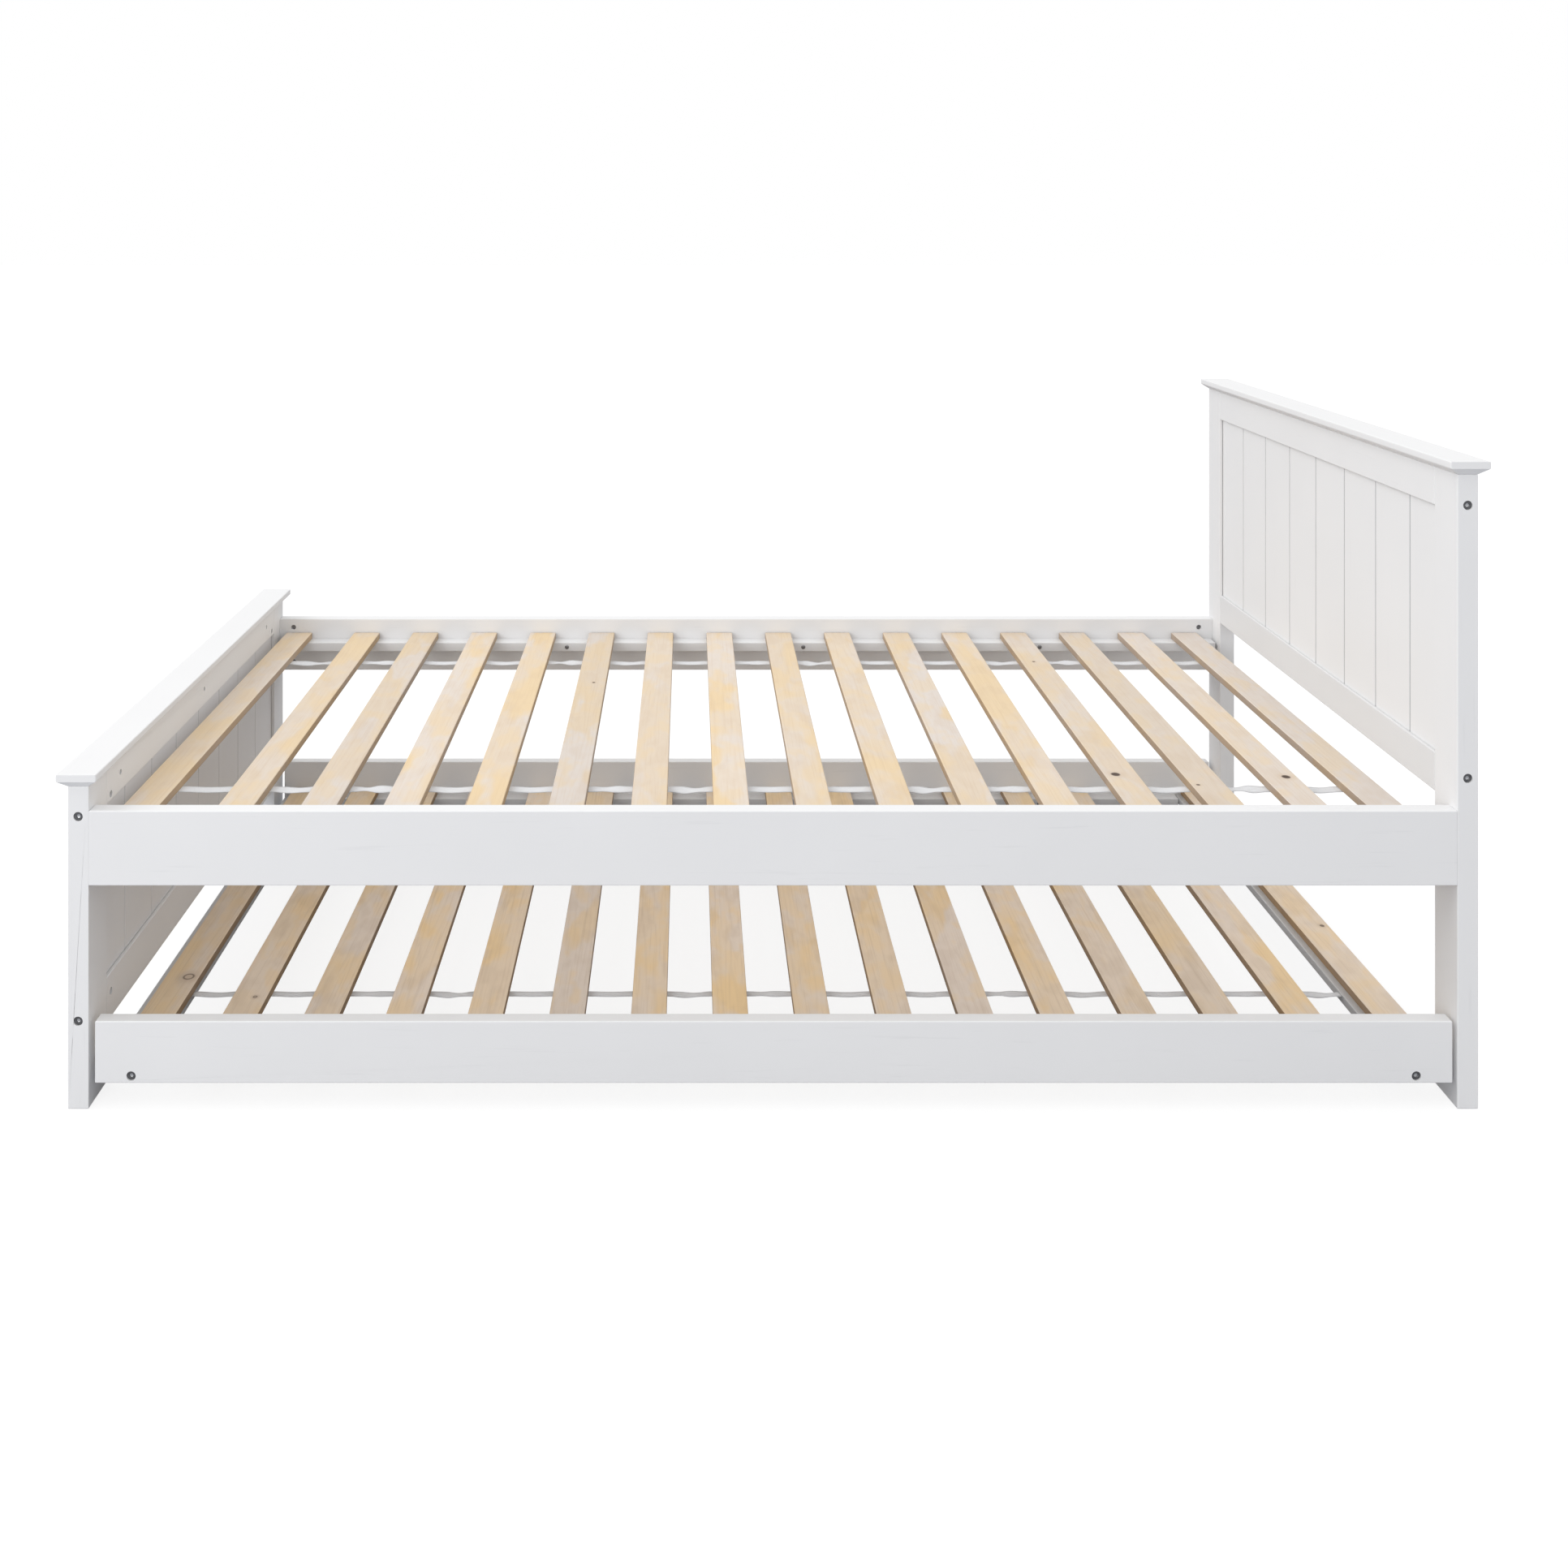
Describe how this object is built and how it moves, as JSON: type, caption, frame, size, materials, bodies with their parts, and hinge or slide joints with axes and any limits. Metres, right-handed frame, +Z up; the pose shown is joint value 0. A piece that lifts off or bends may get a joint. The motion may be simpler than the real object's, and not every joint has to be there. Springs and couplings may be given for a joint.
{
  "type": "trundle bed",
  "caption": "Painted pine single bed with a slatted base, panelled ends, and a slatted trundle that rolls out from under it on hidden castors.",
  "frame": {"origin": "on the floor, under the middle of the bed", "axes": "+X along the length towards the headboard, +Z up, -Y towards the side that the trundle rolls out of"},
  "size_m": [1.985, 0.997, 0.9],
  "materials": {
    "white_paint": "satin white lacquer over pine",
    "bed_pine": "bare sanded pine, pale",
    "trundle_pine": "bare sanded pine, slightly browner",
    "zinc_steel": "zinc plated",
    "dark_steel": "black oxide bolts and nuts",
    "wheel_nylon": "moulded black nylon",
    "webbing": "woven white polyester tape"
  },
  "bodies": {
    "bed_frame": {"head_post_front": "white_paint", "head_post_back": "white_paint", "head_top_rail": "white_paint", "head_bottom_rail": "white_paint", "head_panel": "white_paint", "head_cap": "white_paint", "foot_post_front": "white_paint", "foot_post_back": "white_paint", "foot_top_rail": "white_paint", "foot_bottom_rail": "white_paint", "foot_panel": "white_paint", "foot_cap": "white_paint", "side_rail_front": "white_paint", "slat_ledger_front": "white_paint", "side_rail_back": "white_paint", "slat_ledger_back": "white_paint", "bed_slat_01": "bed_pine", "bed_slat_02": "bed_pine", "bed_slat_03": "bed_pine", "bed_slat_04": "bed_pine", "bed_slat_05": "bed_pine", "bed_slat_06": "bed_pine", "bed_slat_07": "bed_pine", "bed_slat_08": "bed_pine", "bed_slat_09": "bed_pine", "bed_slat_10": "bed_pine", "bed_slat_11": "bed_pine", "bed_slat_12": "bed_pine", "bed_slat_13": "bed_pine", "bed_slat_14": "bed_pine", "bed_slat_15": "bed_pine", "bed_slat_16": "bed_pine"},
    "trundle": {"trundle_rail_front": "white_paint", "trundle_rail_back": "white_paint", "trundle_cross_member_head": "white_paint", "trundle_cross_member_foot": "white_paint", "trundle_slat_01": "trundle_pine", "trundle_slat_02": "trundle_pine", "trundle_slat_03": "trundle_pine", "trundle_slat_04": "trundle_pine", "trundle_slat_05": "trundle_pine", "trundle_slat_06": "trundle_pine", "trundle_slat_07": "trundle_pine", "trundle_slat_08": "trundle_pine", "trundle_slat_09": "trundle_pine", "trundle_slat_10": "trundle_pine", "trundle_slat_11": "trundle_pine", "trundle_slat_12": "trundle_pine", "trundle_slat_13": "trundle_pine", "trundle_slat_14": "trundle_pine", "trundle_slat_15": "trundle_pine", "trundle_slat_16": "trundle_pine", "castor_bracket_head_front": "zinc_steel", "castor_bracket_head_back": "zinc_steel", "castor_bracket_foot_front": "zinc_steel", "castor_bracket_foot_back": "zinc_steel"},
    "wheel_head_front": {"castor_wheel_head_front": "wheel_nylon"},
    "wheel_head_back": {"castor_wheel_head_back": "wheel_nylon"},
    "wheel_foot_front": {"castor_wheel_foot_front": "wheel_nylon"},
    "wheel_foot_back": {"castor_wheel_foot_back": "wheel_nylon"}
  },
  "joints": [
    {"name": "trundle_roll", "type": "slide", "parent": "bed_frame", "child": "trundle", "axis": [0, -1, 0], "range_m": [0, 1]},
    {"name": "castor_spin_head_front", "type": "hinge", "parent": "trundle", "child": "wheel_head_front", "pos_m": [0.906, -0.375, 0.016], "axis": [1, 0, 0], "continuous": true},
    {"name": "castor_spin_head_back", "type": "hinge", "parent": "trundle", "child": "wheel_head_back", "pos_m": [0.906, 0.375, 0.016], "axis": [1, 0, 0], "continuous": true},
    {"name": "castor_spin_foot_front", "type": "hinge", "parent": "trundle", "child": "wheel_foot_front", "pos_m": [-0.904, -0.375, 0.016], "axis": [1, 0, 0], "continuous": true},
    {"name": "castor_spin_foot_back", "type": "hinge", "parent": "trundle", "child": "wheel_foot_back", "pos_m": [-0.904, 0.375, 0.016], "axis": [1, 0, 0], "continuous": true}
  ],
  "couplings": [
    {"joint": "castor_spin_head_front", "follows": "trundle_roll", "rad_per_m": 62.5},
    {"joint": "castor_spin_head_back", "follows": "trundle_roll", "rad_per_m": 62.5},
    {"joint": "castor_spin_foot_front", "follows": "trundle_roll", "rad_per_m": 62.5},
    {"joint": "castor_spin_foot_back", "follows": "trundle_roll", "rad_per_m": 62.5}
  ]
}
